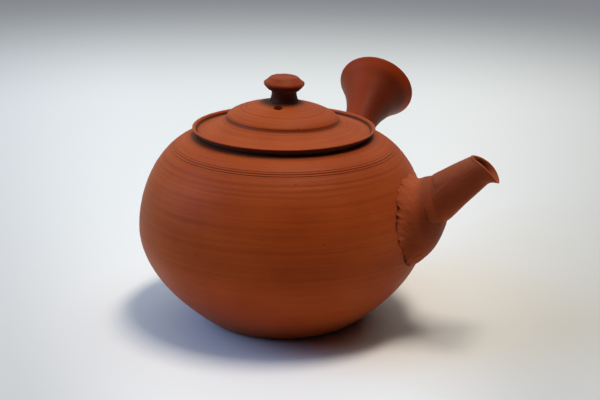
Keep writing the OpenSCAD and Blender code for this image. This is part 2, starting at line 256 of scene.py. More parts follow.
def fired_clay(name, tints, roughness, turned=(1.0, 0.0), axis_at=(0, 0, 0), axis_turn=(0, 0, 0),
               streaks=1.0, grain=1.0):
    """Unglazed red clay, fired hard. turned says how much the tool's streaks follow height and radius
    about the turning axis, and tints are its dark, middle and light colours."""
    material = bpy.data.materials.new(name)
    material.use_nodes = True
    tree = material.node_tree
    tree.nodes.clear()
    place = add_node(tree, "ShaderNodeTexCoord").outputs["Object"]
    on_axis = add_node(tree, "ShaderNodeMapping", {0: place, "Location": axis_at, "Rotation": axis_turn},
                       vector_type="TEXTURE")
    parts = add_node(tree, "ShaderNodeSeparateXYZ", {0: on_axis.outputs[0]})
    flat = add_node(tree, "ShaderNodeVectorMath", {0: on_axis.outputs[0], 1: (1, 1, 0)}, operation="MULTIPLY")
    radius = add_node(tree, "ShaderNodeVectorMath", {0: flat.outputs[0]}, operation="LENGTH")
    by_height = add_node(tree, "ShaderNodeMath", {0: parts.outputs["Z"], 1: turned[0]}, operation="MULTIPLY")
    along = add_node(tree, "ShaderNodeMath", {0: radius.outputs["Value"], 1: turned[1],
                                              2: by_height.outputs[0]}, operation="MULTIPLY_ADD")
    wound = add_node(tree, "ShaderNodeCombineXYZ", {0: parts.outputs["X"], 1: parts.outputs["Y"],
                                                    2: along.outputs[0]})
    # Streaks of the rib and trimming tool, over broad bands
    streak_steps = (per_metre(STREAK_L), per_metre(STREAK_L), per_metre(STREAK_GAP))
    streak_at = add_node(tree, "ShaderNodeVectorMath", {0: wound.outputs[0], 1: streak_steps},
                         operation="MULTIPLY")
    fine = add_node(tree, "ShaderNodeTexNoise", {"Vector": streak_at.outputs[0], "Scale": 1.0, "Detail": 4.0,
                                                 "Roughness": 0.65})
    band_steps = (per_metre(BAND_L), per_metre(BAND_L), per_metre(BAND_GAP))
    band_at = add_node(tree, "ShaderNodeVectorMath", {0: wound.outputs[0], 1: band_steps},
                       operation="MULTIPLY")
    band = add_node(tree, "ShaderNodeTexNoise", {"Vector": band_at.outputs[0], "Scale": 1.0, "Detail": 2.0})
    # Clouds from the fire, and the clay's own grain
    cloud = add_node(tree, "ShaderNodeTexNoise", {"Vector": place, "Scale": per_metre(CLOUD_W),
                                                  "Detail": 3.0})
    grit = add_node(tree, "ShaderNodeTexNoise", {"Vector": place, "Scale": per_metre(GRAIN_W), "Detail": 2.0})
    # Iron specks and pits, half a millimetre across, in a small share of the cells
    speck = add_node(tree, "ShaderNodeTexVoronoi", {"Vector": place, "Scale": per_metre(SPECK_CELL)})
    speck_near = add_node(tree, "ShaderNodeMapRange", {"Value": speck.outputs["Distance"], "From Min": 0.03,
                                                       "From Max": 0.09, "To Min": 1.0, "To Max": 0.0})
    speck_pick = add_node(tree, "ShaderNodeSeparateColor", {0: speck.outputs["Color"]})
    speck_few = add_node(tree, "ShaderNodeMath", {0: speck_pick.outputs[0], 1: 1 - SPECK_SHARE},
                         operation="GREATER_THAN")
    pits = add_node(tree, "ShaderNodeMath", {0: speck_near.outputs[0], 1: speck_few.outputs[0]},
                    operation="MULTIPLY")
    # One shade value from 0, dark, to 1, light, about which each texture swings by its weight
    weights = ((fine, 0.55 * streaks), (band, 0.24), (cloud, 0.6), (grit, 0.3))
    shade = 0.5 - sum(weight for texture, weight in weights) / 2
    for texture, weight in weights:
        shade = add_node(tree, "ShaderNodeMath", {0: texture.outputs["Fac"], 1: weight, 2: shade},
                         operation="MULTIPLY_ADD").outputs[0]
    colours = add_node(tree, "ShaderNodeValToRGB", {0: shade})
    ramp = colours.color_ramp
    ramp.elements[0].position = 0.15
    ramp.elements[0].color = linear(tints[0])
    ramp.elements[1].position = 0.85
    ramp.elements[1].color = linear(tints[2])
    ramp.elements.new(0.5).color = linear(tints[1])
    speckled = add_node(tree, "ShaderNodeMix", {0: pits.outputs[0], 6: colours.outputs[0],
                                                7: linear(IRON_SPECK)}, data_type="RGBA")
    # Painted shade: each point's shade value paints the clay darker, in corners, grooves and on shadowed
    # sides
    corner = add_node(tree, "ShaderNodeAttribute", attribute_name="painted_shade")
    with_painted_shade = add_node(tree, "ShaderNodeMix", {0: corner.outputs["Fac"], 6: speckled.outputs[2],
                                               7: linear(PAINTED_SHADE_COLOUR)}, data_type="RGBA")
    gloss = add_node(tree, "ShaderNodeMapRange", {"Value": shade, "From Min": 0.2, "From Max": 0.8,
                                                  "To Min": roughness + 0.06, "To Max": roughness - 0.06})
    # Relief of the streaks, the grain and the pits
    relief = 0.0
    for height, weight in ((fine.outputs["Fac"], streaks), (grit.outputs["Fac"], 0.35 * grain),
                           (pits.outputs[0], -1.5)):
        relief = add_node(tree, "ShaderNodeMath", {0: height, 1: weight, 2: relief},
                          operation="MULTIPLY_ADD").outputs[0]
    bump = add_node(tree, "ShaderNodeBump", {"Height": relief, "Strength": 0.6, "Distance": RELIEF_H * MM})
    shader = add_node(tree, "ShaderNodeBsdfPrincipled", {
        "Base Color": with_painted_shade.outputs[2], "Roughness": gloss.outputs[0], "Normal": bump.outputs[0],
        "IOR": 1.5, "Specular IOR Level": 0.1, "Sheen Weight": 0.12, "Sheen Roughness": 0.5,
        "Sheen Tint": linear(SHEEN_TINT)})
    add_node(tree, "ShaderNodeOutputMaterial", {0: shader.outputs[0]})
    return material


# Slip fires a little duller than the body's clay
SLIP_TINTS = ("#803218", "#a14c29", "#b5643f")
CLAY_TINTS = ("#8a3512", "#a34718", "#b45821")

# Trimmed and burnished on the wheel: a satin skin, with fine streaks that run round the pot
body_clay = fired_clay("burnished_red_clay", CLAY_TINTS, 0.5)
# The same clay turned face up, so the streaks are rings
lid_clay = fired_clay("burnished_red_clay_lid", CLAY_TINTS, 0.5, turned=(0.4, 1.0))
knob_clay = fired_clay("burnished_red_clay_knob", ("#75290d", "#8c3511", "#9c4419"), 0.52, turned=(0.8, 0.6),
                       streaks=0.7)
# Thrown off the wheel's axis, so the streaks run round the handle
# Its tints are darker than the body's: painted shade
handle_clay = fired_clay("thrown_red_clay_handle", ("#7e2607", "#95340a", "#a74310"), 0.52,
                         axis_at=(0, BELLY_R * MM, HANDLE_Z * MM),
                         axis_turn=(HANDLE_SLOPE - math.pi / 2, 0, 0), streaks=0.5)
# Pulled and smoothed by wet fingers: few streaks, a drier and coarser skin
spout_clay = fired_clay("wet_smoothed_red_clay", SLIP_TINTS, 0.56, streaks=0.25, grain=1.4)
# Slip and clay smeared over a joint: rough and dry
luting_clay = fired_clay("smeared_red_clay", SLIP_TINTS, 0.66, streaks=0.3, grain=2.4)
# Pressed and pierced while damp: matte and dusty
strainer_clay = fired_clay("pierced_red_clay", ("#7d3018", "#97442a", "#a95a3a"), 0.7, streaks=0.2, grain=2.0)


# Forms thrown on the wheel

def thrown_tree():
    """Turns an outline, given as a chain of points (radius, 0, height), about the Z axis. Each point carries
    the vector finger_mark, how far and which way a wheel mark may push it, and a value of painted shade, how
    much darker the clay is painted there."""
    tree = bpy.data.node_groups.new("thrown_on_the_wheel", "GeometryNodeTree")
    sockets = (("Outline", "Geometry"), ("Facets", "Int"), ("Mark length", "Float"), ("Mark step", "Float"),
               ("Out of round", "Float"), ("Seed", "Float"), ("Clay", "Material"))
    for name, kind in sockets:
        tree.interface.new_socket(name, in_out="INPUT", socket_type="NodeSocket" + kind)
    tree.interface.new_socket("Form", in_out="OUTPUT", socket_type="NodeSocketGeometry")
    given = add_node(tree, "NodeGroupInput").outputs
    size = add_node(tree, "GeometryNodeAttributeDomainSize", {0: given["Outline"]})
    columns = add_node(tree, "FunctionNodeIntegerMath", {0: given["Facets"], 1: 1}, operation="ADD")
    grid = add_node(tree, "GeometryNodeMeshGrid", {"Vertices X": size.outputs["Point Count"],
                                                   "Vertices Y": columns.outputs[0]})
    index = add_node(tree, "GeometryNodeInputIndex")
    row = add_node(tree, "FunctionNodeIntegerMath", {0: index.outputs[0], 1: columns.outputs[0]},
                   operation="DIVIDE_FLOOR")
    column = add_node(tree, "FunctionNodeIntegerMath", {0: index.outputs[0], 1: columns.outputs[0]},
                      operation="MODULO")
    share = add_node(tree, "ShaderNodeMath", {0: column.outputs[0], 1: given["Facets"]}, operation="DIVIDE")
    angle = add_node(tree, "ShaderNodeMath", {0: share.outputs[0], 1: -TURN}, operation="MULTIPLY")
    cosine = add_node(tree, "ShaderNodeMath", {0: angle.outputs[0]}, operation="COSINE")
    sine = add_node(tree, "ShaderNodeMath", {0: angle.outputs[0]}, operation="SINE")
    # What each point of the outline carries, for the row that it makes
    position = add_node(tree, "GeometryNodeInputPosition")
    mark_room = add_node(tree, "GeometryNodeInputNamedAttribute", {"Name": "finger_mark"},
                         data_type="FLOAT_VECTOR")
    corner = add_node(tree, "GeometryNodeInputNamedAttribute", {"Name": "painted_shade"}, data_type="FLOAT")
    carried = ((position.outputs[0], "FLOAT_VECTOR"), (mark_room.outputs["Attribute"], "FLOAT_VECTOR"),
               (corner.outputs["Attribute"], "FLOAT"))
    point, push, deep = [
        add_node(tree, "GeometryNodeSampleIndex", {"Geometry": given["Outline"], "Value": value,
                                                   "Index": row.outputs[0]}, data_type=kind)
        for value, kind in carried]
    # Noise on the wheel's own coordinates: round by angle, so that it closes on itself, and along by row
    round_x = add_node(tree, "ShaderNodeMath", {0: cosine.outputs[0], 1: given["Mark length"]},
                       operation="MULTIPLY")
    round_y = add_node(tree, "ShaderNodeMath", {0: sine.outputs[0], 1: given["Mark length"]},
                       operation="MULTIPLY")
    along = add_node(tree, "ShaderNodeMath", {0: row.outputs[0], 1: given["Mark step"]}, operation="MULTIPLY")
    wheel = add_node(tree, "ShaderNodeCombineXYZ", {0: round_x.outputs[0], 1: round_y.outputs[0],
                                                    2: along.outputs[0]})
    marks = add_node(tree, "ShaderNodeTexNoise", {"Vector": wheel.outputs[0], "W": given["Seed"],
                                                  "Scale": 1.0, "Detail": 2.0}, noise_dimensions="4D")
    swing = add_node(tree, "ShaderNodeMapRange", {"Value": marks.outputs["Fac"], "From Min": 0.25,
                                                  "From Max": 0.75, "To Min": -1.0, "To Max": 1.0})
    pushed = add_node(tree, "ShaderNodeVectorMath", {0: push.outputs[0], "Scale": swing.outputs[0]},
                      operation="SCALE")
    marked = add_node(tree, "ShaderNodeVectorMath", {0: point.outputs[0], 1: pushed.outputs[0]},
                      operation="ADD")
    parts = add_node(tree, "ShaderNodeSeparateXYZ", {0: marked.outputs[0]})
    # A hand-thrown ring is a little oval
    oval_angle = add_node(tree, "ShaderNodeMath", {0: angle.outputs[0], 1: 2.0, 2: given["Seed"]},
                          operation="MULTIPLY_ADD")
    oval = add_node(tree, "ShaderNodeMath", {0: oval_angle.outputs[0]}, operation="COSINE")
    stretch = add_node(tree, "ShaderNodeMath", {0: oval.outputs[0], 1: given["Out of round"], 2: 1.0},
                       operation="MULTIPLY_ADD")
    radius = add_node(tree, "ShaderNodeMath", {0: parts.outputs["X"], 1: stretch.outputs[0]},
                      operation="MULTIPLY")
    x = add_node(tree, "ShaderNodeMath", {0: radius.outputs[0], 1: cosine.outputs[0]}, operation="MULTIPLY")
    y = add_node(tree, "ShaderNodeMath", {0: radius.outputs[0], 1: sine.outputs[0]}, operation="MULTIPLY")
    place = add_node(tree, "ShaderNodeCombineXYZ", {0: x.outputs[0], 1: y.outputs[0], 2: parts.outputs["Z"]})
    turned = add_node(tree, "GeometryNodeSetPosition", {"Geometry": grid.outputs["Mesh"],
                                                        "Position": place.outputs[0]})
    # Keeps each point's painted shade for the material
    kept = add_node(tree, "GeometryNodeStoreNamedAttribute", {"Geometry": turned.outputs[0], "Name": "painted_shade",
                                                              "Value": deep.outputs[0]}, data_type="FLOAT")
    closed = add_node(tree, "GeometryNodeMergeByDistance", {"Geometry": kept.outputs[0],
                                                            "Distance": 0.002 * MM})
    smooth = add_node(tree, "GeometryNodeSetShadeSmooth", {0: closed.outputs[0]})
    real = add_node(tree, "GeometryNodeRealizeInstances", {0: smooth.outputs[0]})
    dressed = add_node(tree, "GeometryNodeSetMaterial", {"Geometry": real.outputs[0],
                                                         "Material": given["Clay"]})
    add_node(tree, "NodeGroupOutput", {0: dressed.outputs[0]})
    return tree


wheel = thrown_tree()


def stretch_of(points, spacing, mark, painted_shade=0.0):
    """A stretch of an outline with a point every spacing mm, each with its finger mark's height and its
    painted shade."""
    spots = [Vector(p) for p in points]
    lengths = [0.0]
    for before, after in zip(spots, spots[1:]):
        lengths.append(lengths[-1] + (after - before).length)
    count = max(1, round(lengths[-1] / spacing))
    placed = []
    at = 0
    for i in range(count + 1):
        want = lengths[-1] * i / count
        while at < len(spots) - 2 and lengths[at + 1] < want:
            at += 1
        room = max(1e-9, lengths[at + 1] - lengths[at])
        placed.append((spots[at].lerp(spots[at + 1], (want - lengths[at]) / room), mark, painted_shade))
    return placed


def thrown(name, stretches, clay, facets, mark_length, mark_step, out_of_round, seed):
    """A piece thrown from the stretches of its outline, which run so that the clay lies to their left."""
    spots = []
    for points in stretches:
        for spot in points:
            if not spots or (spot[0] - spots[-1][0]).length > 0.004:
                spots.append(spot)
    outline = bpy.data.meshes.new(name + "_outline")
    edges = [(i, i + 1) for i in range(len(spots) - 1)]
    outline.from_pydata([(max(0.0, p.x) * MM, 0, p.y * MM) for p, mark, painted_shade in spots], edges, [])
    # Each point's painted shade, which the material paints as darkness
    corner = outline.attributes.new("painted_shade", "FLOAT", "POINT")
    corner.data.foreach_set("value", [painted_shade for p, mark, painted_shade in spots])
    room = outline.attributes.new("finger_mark", "FLOAT_VECTOR", "POINT")
    for i, (spot, mark, painted_shade) in enumerate(spots):
        ahead = spots[min(i + 1, len(spots) - 1)][0]
        behind = spots[max(i - 1, 0)][0]
        along = (ahead - behind).normalized()
        room.data[i].vector = Vector((along.y, 0, -along.x)) * mark * MM
    carrier = show(name + "_outline", outline)
    form = carrier.modifiers.new("form", "NODES")
    form.node_group = wheel
    settings = {"Facets": facets, "Mark length": mark_length, "Mark step": mark_step,
                "Out of round": out_of_round, "Seed": seed, "Clay": clay}
    for socket in wheel.interface.items_tree:
        if socket.name in settings:
            form[socket.identifier] = settings[socket.name]
    mesh = as_mesh(carrier)
    bpy.data.objects.remove(carrier)
    # The grid that the tree starts from has an empty material slot, which goes
    mesh.materials.clear()
    mesh.materials.append(clay)
    mesh.polygons.foreach_set("material_index", [0] * len(mesh.polygons))
    return show(name, mesh)


def cut_away(piece, cutter_mesh):
    """Cuts a closed mesh out of a piece, and leaves crisp edges where it was cut."""
    cutter_mesh.materials.append(piece.data.materials[0])
    cutter = show("cutter", cutter_mesh)
    knife = piece.modifiers.new("cut", "BOOLEAN")
    knife.object = cutter
    knife.operation = "DIFFERENCE"
    knife.solver = "EXACT"
    mesh = as_mesh(piece)
    piece.modifiers.clear()
    piece.data = mesh
    bpy.data.objects.remove(cutter)
    mesh.set_sharp_from_angle(angle=math.radians(45))


def drill(radius, length, place, sides=64):
    """A closed round bar of that radius and length along its place's Z axis, in mm."""
    bar = bmesh.new()
    bmesh.ops.create_cone(bar, cap_ends=True, segments=sides, radius1=radius * MM, radius2=radius * MM,
                          depth=length * MM, matrix=place)
    mesh = bpy.data.meshes.new("drill")
    bar.to_mesh(mesh)
    bar.free()
    return mesh


def body_radius(z):
    """Radius of the body's outside at a height."""
    if z < BELLY_Z:
        return BELLY_R - (BELLY_R - FOOT_R) * (1 - z / BELLY_Z) ** BELLY_FULLNESS
    rise = (z - BELLY_Z) / (RIM_Z - BELLY_Z)
    return RIM_R + (BELLY_R - RIM_R) * max(0.0, 1 - rise ** SHOULDER_FULLNESS) ** (1 / SHOULDER_FULLNESS)


def wall_section(foot_r, foot_z, belly_r, top_r, top_z, steps=120):
    """Section of a wall from its foot, over the belly's widest line, to its top."""
    lower = []
    for i in range(steps):
        drop = 1 - i / steps
        lower.append((belly_r - (belly_r - foot_r) * drop ** BELLY_FULLNESS, mix(BELLY_Z, foot_z, drop)))
    upper = []
    power = 2 / SHOULDER_FULLNESS
    for i in range(steps + 1):
        a = math.pi / 2 * i / steps
        upper.append((top_r + (belly_r - top_r) * max(0.0, math.cos(a)) ** power,
                      BELLY_Z + (top_z - BELLY_Z) * math.sin(a) ** power))
    return lower + upper


def scored(stretch, lines, by):
    """A stretch of an outline with lines cut into it, each at a height (by 1) or a radius (by 0)."""
    done = []
    for i, (spot, mark, painted_shade) in enumerate(stretch):
        ahead = stretch[min(i + 1, len(stretch) - 1)][0]
        behind = stretch[max(i - 1, 0)][0]
        along = (ahead - behind).normalized()
        depth = sum(deep * math.exp(-((spot[by] - at) / half) ** 2) for at, half, deep in lines)
        # A cut line is also painted darker by twice its depth: painted shade in the groove
        done.append((spot - Vector((along.y, -along.x)) * depth, mark, min(1, painted_shade + 2 * depth)))
    return done


def painted_shade_by_radius(stretch, shade_at):
    """A stretch of an outline with painted shade that depends on the radius, as the given function says."""
    return [(spot, mark, max(painted_shade, shade_at(spot.x))) for spot, mark, painted_shade in stretch]


def body_piece():
    outer = wall_section(FOOT_R, 0, BELLY_R, RIM_R, RIM_Z)
    low_line = ENGRAVED_LINES[0][0] - 0.8
    high_line = ENGRAVED_LINES[-1][0] + 0.8
    foot = [(0, 0), (FOOT_R - FOOT_CHAMFER, 0)]
    foot_edge = bend(foot[-1], (FOOT_R - 0.2, 0), (body_radius(FOOT_CHAMFER), FOOT_CHAMFER), 4)
    below = [p for p in outer if FOOT_CHAMFER < p[1] < low_line]
    lines = [p for p in outer if low_line <= p[1] <= high_line]
    above = [p for p in outer if high_line < p[1] < RIM_Z - TURNED_EDGE / 4]
    lines = [below[-1], *lines, above[0]]
    rim_edge = bend(above[-1], (RIM_R + TURNED_EDGE / 2, RIM_Z), (RIM_R - TURNED_EDGE, RIM_Z), 4)
    mouth_edge = bend((MOUTH_R + TURNED_EDGE, RIM_Z), (MOUTH_R, RIM_Z), (MOUTH_R, RIM_Z - TURNED_EDGE), 4)
    inner = wall_section(FLOOR_R, FLOOR_T, BELLY_R - WALL, MOUTH_R, RIM_Z - RIM_T)[::-1]
    # The last numbers are painted shade on the shoulder, the rim and its top under the lid's overhang
    stretches = [
        stretch_of(foot, 3, 0),
        stretch_of(foot_edge, 0.25, 0),
        scored(stretch_of([foot_edge[-1], *below], 0.42, 0.022), RIB_LINES, 1),
        scored(stretch_of(lines, 0.07, 0.01), ENGRAVED_LINES + RIB_LINES, 1),
        painted_shade_by_radius(stretch_of(above, 0.4, 0.02), lambda r: 0.75 * clamp((SHADE_R - r) / SHADE_W)),
        stretch_of(rim_edge, 0.15, 0.01, 0.75),
        stretch_of([rim_edge[-1], mouth_edge[0]], 0.4, 0.01, 0.4),
        stretch_of(mouth_edge, 0.15, 0),
        stretch_of([mouth_edge[-1], *inner], 1.4, 0.2),
        stretch_of([inner[-1], (0, FLOOR_T)], 1.6, 0.12)]
    piece = thrown("thrown_body", stretches, body_clay, facets=224, mark_length=1.6, mark_step=0.26,
                   out_of_round=0.0012, seed=3.0)
    opening = drill(OPENING_R, BELLY_R, Matrix.Translation(Vector((BELLY_R, 0, SPOUT_Z)) * MM)
                    @ Matrix.Rotation(math.pi / 2, 4, "Y"))
    cut_away(piece, opening)
    return piece


def dome_height(r):
    """Height of the lid's dome at a radius."""
    u = r / DOME_R
    return RIM_Z + mix(CROWN_H, DOME_EDGE_H, DOME_SLOPE * u + (1 - DOME_SLOPE) * u ** DOME_ROUND)


def steam_hole():
    """The bar that pierces the dome beside the knob's foot and stops below the knob's head."""
    length = dome_height(KNOB_FOOT_R) + STEM_H / 2 - RIM_Z
    place = Vector((STEAM_OFFSET * math.sin(STEAM_TURN), -STEAM_OFFSET * math.cos(STEAM_TURN),
                    RIM_Z + length / 2))
    return drill(STEAM_D / 2, length, Matrix.Translation(place * MM))


def askew(piece, shift):
    """Leans the dome, and moves it by shift mm, while the lid's seat and its outer ring stay level."""
    side = seen_from_camera(1, 0, 0)
    for vertex in piece.data.vertices:
        height = clamp((vertex.co.z / MM - RIM_Z) / LEVEL_H)
        reach = math.hypot(vertex.co.x, vertex.co.y) / MM
        share = height * clamp((LEVEL_R - reach) / LEVEL_W)
        vertex.co.z -= vertex.co.dot(side) * math.tan(DOME_LEAN) * share
        vertex.co -= side * shift * MM * share


def lid_piece():
    flange_in = FLANGE_R - FLANGE_T
    under_r = DOME_R - LID_T / 2
    groove_r = LIP_R - 1.4 * LIP_T
    groove_z = RIM_Z + PLATE_T
    lip_z = RIM_Z + LIP_H
    edge_z = dome_height(DOME_R)
    under = [(under_r * i / 12, dome_height(max(under_r * i / 12, KNOB_FOOT_R)) - LID_T) for i in range(13)]
    under += [(flange_in, RIM_Z + PLATE_T)]
    foot = RIM_Z - FLANGE_DEPTH
    flange = [under[-1], (flange_in, foot + TURNED_EDGE), (flange_in + TURNED_EDGE, foot),
              (FLANGE_R - TURNED_EDGE, foot), (FLANGE_R, foot + 2 * TURNED_EDGE), (FLANGE_R, RIM_Z),
              (RIM_R, RIM_Z)]
    flare = bend((RIM_R, RIM_Z), (RIM_R + 2, RIM_Z + TURNED_EDGE), (LIP_R, lip_z - LIP_T / 4), 14)
    lip = bend(flare[-1], (LIP_R - LIP_T / 2, lip_z + LIP_T / 4), (LIP_R - LIP_T, lip_z - LIP_T / 2), 12)
    groove = bend((groove_r + LIP_T / 4, groove_z + LIP_T / 4), (groove_r, groove_z),
                  (groove_r - LIP_T, groove_z + TURNED_EDGE / 3), 8)
    # The dome's steep side runs out into the ring with a cove, at the foot of which a faint bead stands
    cove = bend((DOME_R + 1.15 * DOME_STEP, edge_z - DOME_STEP - 0.7 * TURNED_EDGE),
                (DOME_R + TURNED_EDGE, edge_z - DOME_STEP),
                (DOME_R + TURNED_EDGE / 4, edge_z - TURNED_EDGE), 14)
    bead = [p + Vector((0.07, 0.12)) * math.exp(-((p.x - DOME_R - 1.5) / 0.35) ** 2) for p in cove]
    crest_r = DOME_R - 0.8
    crest = bend(bead[-1], (DOME_R, edge_z), (crest_r, dome_height(crest_r)), 6)
    dome = [(r, dome_height(r)) for r in (mix(crest_r, KNOB_FOOT_R, i / 60) for i in range(61))]
    # The last numbers are painted shade: under the lip's flare, on the lip's inner wall, in the cove under
    # the dome's edge and round the knob's foot
    stretches = [
        stretch_of(under, 1, 0.08),
        stretch_of(flange, 0.5, 0.01),
        stretch_of(flare[:-1], 0.25, 0.01, 0.9),
        stretch_of([flare[-2], *lip], 0.14, 0.01),
        stretch_of([lip[-1], *groove[:5]], 0.2, 0.01, 0.85),
        stretch_of(groove[4:], 0.2, 0.01, 0.15),
        stretch_of([groove[-1], bead[0]], 0.3, 0.025),
        stretch_of(bead[:8], 0.12, 0.01, 0.12),
        stretch_of(bead[7:], 0.12, 0.01, 0.45),
        stretch_of(crest, 0.12, 0.01),
        painted_shade_by_radius(scored(stretch_of(dome, 0.12, 0.014), DOME_LINES, 0),
                          lambda r: 0.85 * ease((KNOB_SHADE_R - r) / (KNOB_SHADE_R - KNOB_FOOT_R))),
        stretch_of([dome[-1], (0, dome[-1][1])], 1.4, 0)]
    piece = thrown("thrown_lid", stretches, lid_clay, facets=224, mark_length=1.8, mark_step=0.3,
                   out_of_round=0.001, seed=11.0)
    cut_away(piece, steam_hole())
    askew(piece, DOME_SHIFT)
    return piece


def knob_piece():
    seat = dome_height(KNOB_FOOT_R)
    stem = bend((KNOB_FOOT_R, 0), (STEM_R, STEM_H * 0.3), (STEM_R, STEM_H), 10)
    under = bend((STEM_R, STEM_H), (mix(STEM_R, KNOB_R, 0.6), mix(STEM_H, KNOB_WIDE_H, 0.22)),
                 (KNOB_R - TURNED_EDGE / 2, KNOB_WIDE_H - 2 * TURNED_EDGE), 12)
    edge = bend(under[-1], (KNOB_R + TURNED_EDGE / 2, KNOB_WIDE_H - TURNED_EDGE / 4),
                (KNOB_R - 2 * TURNED_EDGE, KNOB_WIDE_H + TURNED_EDGE), 10)
    disc_z = KNOB_H - KNOB_TOP_H
    slope = [edge[-1], (KNOB_TOP_R + TURNED_EDGE, disc_z - 0.1)]
    disc = bend(slope[-1], (KNOB_TOP_R + 0.2, disc_z + 0.25), (KNOB_TOP_R - TURNED_EDGE, disc_z + 0.3), 6)
    disc += bend(disc[-1], (KNOB_TOP_R - 2 * TURNED_EDGE, KNOB_H), (KNOB_TOP_R - 4 * TURNED_EDGE, KNOB_H), 6)
    raised = [[(p[0], p[1] + seat) for p in part] for part in
              ([(0, 0), (KNOB_FOOT_R, 0)], stem, under, edge, slope, disc, [disc[-1], (0, KNOB_H - 0.15)])]
    spacing = (1.2, 0.2, 0.2, 0.12, 0.2, 0.1, 0.3)
    marks = (0, 0.06, 0.1, 0.1, 0.1, 0.07, 0.05)
    # Painted shade on the knob's foot, stem and underside
    painted_shades = (0.9, 0.9, 0.95, 0.1, 0, 0, 0)
    stretches = [stretch_of(*part) for part in zip(raised, spacing, marks, painted_shades)]
    piece = thrown("turned_knob", stretches, knob_clay, facets=128, mark_length=1.2, mark_step=0.12,
                   out_of_round=0.006, seed=21.0)
    cut_away(piece, steam_hole())
    askew(piece, 0)
    return piece


# Forms pulled by hand, made of strips of points round their axis

def closed_skin(name, strips, clay, painted_shades=()):
    """A closed skin over strips of points in mm. The strips lie side by side all the way round, and each
    strip closes on itself. recesses says, point by point, how deep it lies in a corner."""
    count = len(strips[0])
    points = [Vector(p) * MM for strip in strips for p in strip]
    faces = []
    for i in range(len(strips)):
        beside = (i + 1) % len(strips)
        for j in range(count):
            ahead = (j + 1) % count
            faces.append((i * count + j, beside * count + j, beside * count + ahead, i * count + ahead))
    mesh = bpy.data.meshes.new(name)
    mesh.from_pydata(points, [], faces)
    mesh.shade_smooth()
    mesh.materials.append(clay)
    if painted_shades:
        deep = mesh.attributes.new("painted_shade", "FLOAT", "POINT")
        deep.data.foreach_set("value", [value for strip in painted_shades for value in strip])
    shell = bmesh.new()
    shell.from_mesh(mesh)
    if shell.calc_volume(signed=True) < 0:
        bmesh.ops.reverse_faces(shell, faces=shell.faces[:])
    shell.to_mesh(mesh)
    shell.free()
    return show(name, mesh)


def leaves_body(point_at, low, high):
    """The place between low and high at which a line of points comes out of the body's wall."""
    for _ in range(40):
        middle = (low + high) / 2
        x, y, z = point_at(middle)
        if math.hypot(x, y) < body_radius(z) + LUTE_GAP:
            low = middle
        else:
            high = middle
    return high


def body_normal(point):
    """Outward direction of the body's wall at a point on it."""
    x, y, z = point
    slope = (body_radius(z + 0.05) - body_radius(z - 0.05)) / 0.1
    reach = math.hypot(x, y)
    return Vector((x / reach, y / reach, -slope)).normalized()


def staged(stops, s):
    """Value at stage s of the spout from its four stops: 0 root, 1 waist, 2 tube end, 3 mouth's edge."""
    k = max(0, min(2, math.floor(s)))
    return mix(stops[k], stops[k + 1], s - k)


SPOUT_ROOT = Vector((body_radius(SPOUT_Z) - ROOT_SINK, SPOUT_Z))
SPOUT_WAIST = SPOUT_ROOT + Vector((ROOT_SINK + BELL_OUT, BELL_UP))
SPOUT_END = SPOUT_WAIST + Vector((TUBE_OUT, TUBE_UP))
SPOUT_EDGE = SPOUT_END + Vector((LIP_OUT, LIP_UP))


def spout_centre(s):
    if s < 0:
        return SPOUT_ROOT + Vector((ROOT_BACK * s, 0))
    if s < 1:
        return SPOUT_ROOT + Vector((s * (SPOUT_WAIST.x - SPOUT_ROOT.x), s ** BELL_BEND * BELL_UP))
    return staged((SPOUT_ROOT, SPOUT_WAIST, SPOUT_END, SPOUT_EDGE), s)


def spout_half(s, edge, edge_power):
    """Half height or half width of the spout, without the step at its waist."""
    if s <= 0:
        return SPOUT_ROOT_R
    if s <= 1:
        return mix(SPOUT_ROOT_R, SPOUT_WAIST_R, s * s)
    if s <= 2:
        return mix(SPOUT_WAIST_R, SPOUT_MOUTH_R - SPOUT_STEP, s - 1)
    return mix(SPOUT_MOUTH_R - SPOUT_STEP, edge - SPOUT_STEP, (s - 2) ** edge_power)


def sleeve_start(a):
    """Stage at which the tube's rolled end begins, at angle a."""
    turned = math.degrees(a)
    if turned > 180:
        turned -= 360
    for (low, low_at), (high, high_at) in zip(SLEEVE_END, SLEEVE_END[1:]):
        if turned <= high:
            return mix(low_at, high_at, ease((turned - low) / (high - low)))
    return SLEEVE_END[-1][1]


def smeared_over(a):
    """How much a thumb wiped the rolled end flat, from 0 to 1: only high on the near side."""
    beside = (math.degrees(a) - 360 + 68) / 17
    return 0.9 * math.exp(-beside * beside)


def sleeve_step(s, a):
    """The tube's rolled end stands proud of the bell, most below."""
    start = sleeve_start(a)
    rise = clamp((s - start) / 0.1)
    settled = ease((s - start) / 0.5)
    height = mix(0.9, 2.0, (1 - math.cos(a)) / 2) * SPOUT_STEP * (1 - smeared_over(a))
    return mix(height * math.sqrt(1 - (1 - rise) ** 2), SPOUT_STEP, settled)


def sleeve_crease_shade(s, a):
    """How much painted shade a point gets in the crease before the rolled end."""
    beside = (s - sleeve_start(a) - 0.005) / 0.022
    return mix(0.45, 0.95, (1 - math.cos(a)) / 2) * (1 - smeared_over(a)) * math.exp(-beside * beside)


def spout_painted_shade(s, a):
    """Painted shade on the tube and in the hollow under the bell's near side. The thumb's end gets less of
    it:
    painted light where light falls on it."""
    turned = math.degrees(a) - 360
    below = math.exp(-((turned + 106) / 36) ** 2)
    hollow = 0.34 * below * ease((s + 0.2) / 0.4) * ease((0.95 - s) / 0.4)
    thumb = math.exp(-((turned + 140) / 34) ** 2)
    less_shade = 0.24 * thumb * ease((s - sleeve_start(a)) / 0.06) * ease((1.5 - s) / 0.5)
    return max(0.0, 0.38 * ease((s - 0.42) / 0.4) + hollow - less_shade)


